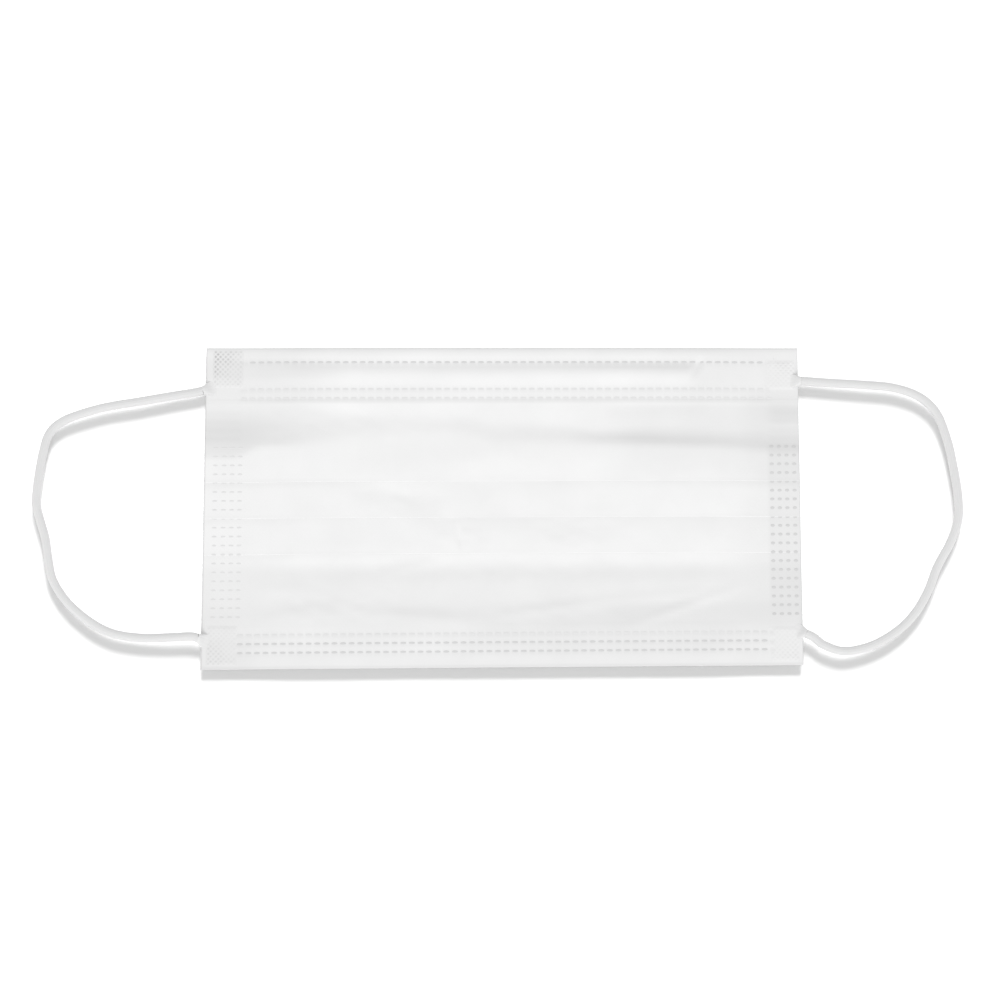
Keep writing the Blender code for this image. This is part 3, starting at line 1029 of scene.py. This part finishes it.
def pressed_end(name):
    exit_spot, outwards = EXITS[name]
    t = np.linspace(0, 1, END_RINGS)
    points = exit_spot + outwards * CLEARANCE - outwards * (END_LENGTH + CLEARANCE) * t[:, None]
    squeeze = smooth_step((t + 0.03) / SQUEEZE_REACH[name.split("_")[0]])
    half_high = ELASTIC / 2 * (1 - FLATNESS * 0.6) * (1 - squeeze) + END_HALF_FLAT * squeeze
    half_wide = ELASTIC / 2 * (1 + 0.65 * squeeze) * (1 - 0.35 * smooth_step((t - 0.8) / 0.2))
    ribs = lambda angle, along: 0.03 * MM * np.cos(14 * angle) * (1 - smooth_step(along / (4 * MM)))
    end, along = tube(f"elastic_end_{name}", points, lambda along: (half_wide, half_high), ribs)
    melted = END_MELTS * smooth_step((t - 0.28) / 0.3)
    for vertex in end.data.vertices:
        x, y, z = vertex.co
        ring = vertex.index // SIDES
        ground = top_of_cloth(min(max(x, -SIDE_LIMIT), SIDE_LIMIT), y, 1.2 * MM)[0]
        vertex.co.z = z + squeeze[ring] * (ground + 0.01 * MM - melted[ring] - exit_spot[2])
    uv_round_and_along(end, along)
    return end


ends = {}
pressed_finish = elastic_finish("pressed_elastic", 0.80, 0.72)
for name in EXITS:
    ends[name] = pressed_end(name)
    ends[name].data.materials.append(pressed_finish)
    end_heights = [round(vertex.co.z / MM, 2) for vertex in ends[name].data.vertices]
    print(ends[name].name, "lies between", min(end_heights), "and", max(end_heights), "mm")

shines_on(cord_light, ends.values())
shines_on(cloth_light, ends.values(), "EXCLUDE")

# %% [markdown]
# The corners are welded by a knurled horn, which leaves a field of small diamond pits. The pits repeat, so
# Geometry Nodes draw them: a fine grid, pressed down by two crossing waves that run diagonally. One tree
# serves all four corners, with its sizes as named inputs. Python then lays each grid on the cloth.

# %% Trees and what grows from them
def geometry_tree(name, inputs):
    """An empty tree with its named inputs, and a helper that adds nodes to it."""
    tree = bpy.data.node_groups.new(name, "GeometryNodeTree")
    tree.interface.new_socket("Geometry", in_out="INPUT", socket_type="NodeSocketGeometry")
    tree.interface.new_socket("Geometry", in_out="OUTPUT", socket_type="NodeSocketGeometry")
    for label, kind, value in inputs:
        socket = tree.interface.new_socket(label, in_out="INPUT", socket_type=kind)
        if value is not None:
            socket.default_value = value

    def add(kind, sockets=None, settings=None):
        made = tree.nodes.new(kind)
        for key, value in (settings or {}).items():
            setattr(made, key, value)
        for key, value in (sockets or {}).items():
            if isinstance(value, bpy.types.NodeSocket):
                tree.links.new(value, made.inputs[key])
            else:
                made.inputs[key].default_value = value
        return made

    return tree, add


def close_tree(add, geometry, finish):
    """The last nodes of each tree: plain geometry, its finish and the way out."""
    real = add("GeometryNodeRealizeInstances", {0: geometry})
    painted = add("GeometryNodeSetMaterial", {"Geometry": real.outputs[0], "Material": finish})
    add("NodeGroupOutput", {0: painted.outputs[0]})


def grown(base, tree, values, name):
    """Runs a tree on an object and keeps the result as a plain mesh object of that name."""
    modifier = base.modifiers.new("grow", "NODES")
    modifier.node_group = tree
    for item in tree.interface.items_tree:
        if item.in_out == "INPUT" and item.name in values:
            modifier[item.identifier] = values[item.name]
    bpy.context.view_layer.update()
    finished = base.evaluated_get(bpy.context.evaluated_depsgraph_get())
    mesh = bpy.data.meshes.new_from_object(finished)
    mesh.name = name
    base.modifiers.remove(modifier)
    return linked(name, mesh)


FLOAT, MATERIAL = "NodeSocketFloat", "NodeSocketMaterial"
print("trees can be planted")

# %% Node tree for a knurled field
knurl, add = geometry_tree("knurled_field", (
    ("Width", FLOAT, 0.009), ("Length", FLOAT, 0.012), ("Pitch", FLOAT, 0.0017), ("Depth", FLOAT, 0.0002),
    ("Vertices X", "NodeSocketInt", 50), ("Vertices Y", "NodeSocketInt", 60), ("Finish", MATERIAL, None),
))
inward = add("NodeGroupInput")
grid = add("GeometryNodeMeshGrid", {
    "Size X": inward.outputs["Width"], "Size Y": inward.outputs["Length"],
    "Vertices X": inward.outputs["Vertices X"], "Vertices Y": inward.outputs["Vertices Y"],
})
spot = add("GeometryNodeInputPosition")
x_part, y_part = add("ShaderNodeSeparateXYZ", {0: spot.outputs[0]}).outputs[:2]


def calc(operation, first, second=0.0):
    return add("ShaderNodeMath", {0: first, 1: second}, {"operation": operation}).outputs[0]


turns = calc("DIVIDE", math.pi, inward.outputs["Pitch"])
rising = calc("COSINE", calc("MULTIPLY", calc("ADD", x_part, y_part), turns))
falling = calc("COSINE", calc("MULTIPLY", calc("SUBTRACT", x_part, y_part), turns))
pit = calc("MULTIPLY", calc("MULTIPLY", rising, rising), calc("MULTIPLY", falling, falling))
sink = calc("MULTIPLY", calc("MULTIPLY", pit, inward.outputs["Depth"]), -1.0)
lower = add("ShaderNodeCombineXYZ", {2: sink})
pitted = add("GeometryNodeSetPosition", {"Geometry": grid.outputs["Mesh"], "Offset": lower.outputs[0]})
kept = add(
    "GeometryNodeStoreNamedAttribute",
    {"Geometry": pitted.outputs[0], "Name": "pit", "Value": pit},
    {"data_type": "FLOAT", "domain": "POINT"},
)
close_tree(add, kept.outputs[0], inward.outputs["Finish"])
print("knurled field:", len(knurl.nodes), "nodes")

# %% Knurled corners
weld_film = nonwoven_finish("pressed_nonwoven", 0.50, "pit")
# (name, across from and to, down from and to in millimetres, how much greyer than cloth film and pits are)
PATCHES = (
    ("top_left", -86.0, -76.0, 0.1, 12.4, 0.02, 1.0),
    ("top_right", 77.8, 87.1, 3.2, 13.0, 0.0, 0.16),
    ("bottom_left", -86.6, -76.6, 81.8, 94.4, 0.04, 0.36),
    ("bottom_right", 77.6, 86.9, 83.2, 94.4, 0.0, 0.17),
)
KNURL_PITCH, KNURL_DEPTH, KNURL_CELL = 1.5 * MM, 0.055 * MM, 0.14 * MM
FEATHER = 1.4 * MM
FILM_THICK, FILM_PROUD, FILM_SUNK = 0.08 * MM, 0.075 * MM, 0.015 * MM
FILM_TO_CLOTH = 0.7
seed = linked("seed", bpy.data.meshes.new("seed"))


def knurled_corner(name, left, right, upper, lower, film_grey, pit_grey):
    width, length = (right - left) * MM, (lower - upper) * MM
    values = {
        "Width": width, "Length": length, "Pitch": KNURL_PITCH, "Depth": KNURL_DEPTH, "Finish": weld_film,
        "Vertices X": round(width / KNURL_CELL), "Vertices Y": round(length / KNURL_CELL),
    }
    patch = grown(seed, knurl, values, f"knurled_weld_{name}")
    centre_x = (left + right) / 2 * MM
    centre_y = place(centre_x, (upper + lower) / 2 * MM)
    side, rise = (1 if centre_x > 0 else -1), (1 if centre_y > 0 else -1)
    pits = patch.data.attributes["pit"].data
    cloth_shade_and_weld_rows = {}
    for vertex in patch.data.vertices:
        x, y, pit = vertex.co
        down = round((upper + lower) / 2 - y / MM, 2)
        if down not in cloth_shade_and_weld_rows:
            cloth_shade_and_weld_rows[down] = painted_shade_and_welds(down)
        inside = min(width / 2 - abs(x), length / 2 - abs(y))
        feather = float(smooth_step(inside / FEATHER))
        inwards = 0.5 - side * x / width + (0.5 - rise * y / length)
        strong = 1 - 0.75 * float(smooth_step((inwards - 0.35) / 0.9))
        smear = math.sin(x / (0.9 * MM) + y / (1.7 * MM)) * math.sin(y / (1.3 * MM) - x / (2.1 * MM))
        uneven = 0.75 + 0.25 * smear
        film_tone = film_grey + pit_grey * strong * uneven * pits[vertex.index].value ** 0.6
        # the cloth's painted shade and weld grey run on under the film
        cloth_shade_and_weld = FILM_TO_CLOTH * np.interp((x + centre_x) / MM, X, cloth_shade_and_weld_rows[down])
        pits[vertex.index].value = cloth_shade_and_weld + feather * film_tone
        ground = top_of_cloth(x + centre_x, y + centre_y, 1.0 * MM)[0]
        raised = feather * (FILM_PROUD + pit * (0.3 + 0.7 * strong))
        vertex.co = (x + centre_x, y + centre_y, ground + raised - FILM_SUNK)
    film = patch.modifiers.new("wall", "SOLIDIFY")
    film.thickness = FILM_THICK
    film.offset = -1
    patch.data.shade_smooth()
    return patch


patches = {name: knurled_corner(name, *sizes) for name, *sizes in PATCHES}
print("knurled corners:", {name: len(patch.data.polygons) for name, patch in patches.items()}, "faces")

# %% [markdown]
# At the bottom of each dash and dot lies a fleck of fused fibre, smoother than the cloth round it. There are
# over five hundred, so Geometry Nodes set one small lens on each point and turn it to the cloth's own slope.

# %% Node tree for the flecks
flecks, add = geometry_tree("fused_flecks", (
    ("Long", FLOAT, 0.0015), ("Wide", FLOAT, 0.0005), ("Thick", FLOAT, 0.00008), ("Finish", MATERIAL, None),
))
inward = add("NodeGroupInput")
lens = add("GeometryNodeMeshUVSphere", {"Segments": 8, "Rings": 4, "Radius": 0.5})
sizes = [inward.outputs[label] for label in ("Long", "Wide", "Thick")]
size = add("ShaderNodeCombineXYZ", dict(enumerate(sizes)))
slope = add("GeometryNodeInputNamedAttribute", {"Name": "slope"}, {"data_type": "FLOAT_VECTOR"})
facing = add("FunctionNodeAlignRotationToVector", {"Vector": slope.outputs["Attribute"]}, {"axis": "Z"})
placed = add("GeometryNodeInstanceOnPoints", {
    "Points": inward.outputs["Geometry"], "Instance": lens.outputs["Mesh"],
    "Rotation": facing.outputs[0], "Scale": size.outputs[0],
})
close_tree(add, placed.outputs[0], inward.outputs["Finish"])
print("fused flecks:", len(flecks.nodes), "nodes")

# %% Film finish
def film_finish(name, light, dark):
    film = Finish(name)
    smear = film.noise(film.node("ShaderNodeTexCoord", {}, {}, "Object"), 1800, 2)
    film.shade(
        Base_Color=film.mix(smear, dark, light),
        Roughness=0.42 + 0.2 * smear,
        Normal=film.bump(smear, 0.01 * MM, 0.4),
        Specular_IOR_Level=0.4,
    )
    return film.material


strong_film = film_finish("fused_film", 0.67, 0.61)
soft_film = film_finish("fused_film_faint", 0.76, 0.71)
print("film finished")

# %% Flecks on the cloth
FLECK_THICK, FLECK_LIFT = 0.03 * MM, 0.02 * MM
PATCH_MARGIN = 0.3


def fleck_piece(name, places, values, film):
    """One piece of flecks at (across, down) places in millimetres."""
    points, slopes = [], []
    for x, down in places:
        y = place(x * MM, down * MM)
        z, normal = top_of_cloth(x * MM, y)
        if z is not None:
            points.append((x * MM, y, z + FLECK_LIFT))
            slopes.append(normal)
    mesh = bpy.data.meshes.new(name + "_points")
    mesh.from_pydata(points, [], [])
    slope = mesh.attributes.new("slope", "FLOAT_VECTOR", "POINT")
    slope.data.foreach_set("vector", np.array(slopes, dtype=np.float32).ravel())
    base = linked(name + "_points", mesh)
    piece = grown(base, flecks, {**values, "Thick": FLECK_THICK, "Finish": film}, name)
    bpy.data.objects.remove(base)
    print(name, len(points), "flecks,", len(piece.data.polygons), "faces")
    return piece


def in_patch(x, down):
    return any(
        left < x + PATCH_MARGIN and x - PATCH_MARGIN < right
        and upper < down + PATCH_MARGIN and down - PATCH_MARGIN < lower
        for name, left, right, upper, lower, film_grey, pit_grey in PATCHES
    )


def spots(columns, lines):
    return [(x, down) for down in lines for x in columns if not in_patch(x, down)]


DASH_SIZE = {"Long": 1.8 * MM, "Wide": 0.72 * MM}
LEFT_DOT = {"Long": 1.45 * MM, "Wide": 0.55 * MM}
RIGHT_DOT = {"Long": 1.3 * MM, "Wide": 0.9 * MM}
marks = [
    fleck_piece("hem_welds_strong", spots(DASHES, (DASH_ROWS[0], *DASH_ROWS[4:])), DASH_SIZE, strong_film),
    fleck_piece("hem_welds_faint", spots(DASHES, DASH_ROWS[1:4]), DASH_SIZE, soft_film),
    fleck_piece("seam_welds_left", spots(DOT_COLUMNS["left"], DOT_ROWS), LEFT_DOT, soft_film),
    fleck_piece("seam_welds_right", spots(DOT_COLUMNS["right"], DOT_ROWS), RIGHT_DOT, strong_film),
]
bpy.data.objects.remove(seed)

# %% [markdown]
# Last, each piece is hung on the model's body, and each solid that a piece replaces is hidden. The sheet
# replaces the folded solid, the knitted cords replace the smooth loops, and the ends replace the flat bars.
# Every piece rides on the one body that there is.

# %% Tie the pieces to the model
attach(panel, "root")
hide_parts("pleated_panel")
for piece in [*patches.values(), *marks]:
    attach(piece, "root")
for name, end in ends.items():
    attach(end, "root")
    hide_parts(f"loop_end_{name}")
for side_name, (cord, points, length) in LOOPS.items():
    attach(cord, "root")
    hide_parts(f"ear_loop_{side_name}")
    points[::6].tolist() + [points[-1].tolist()]
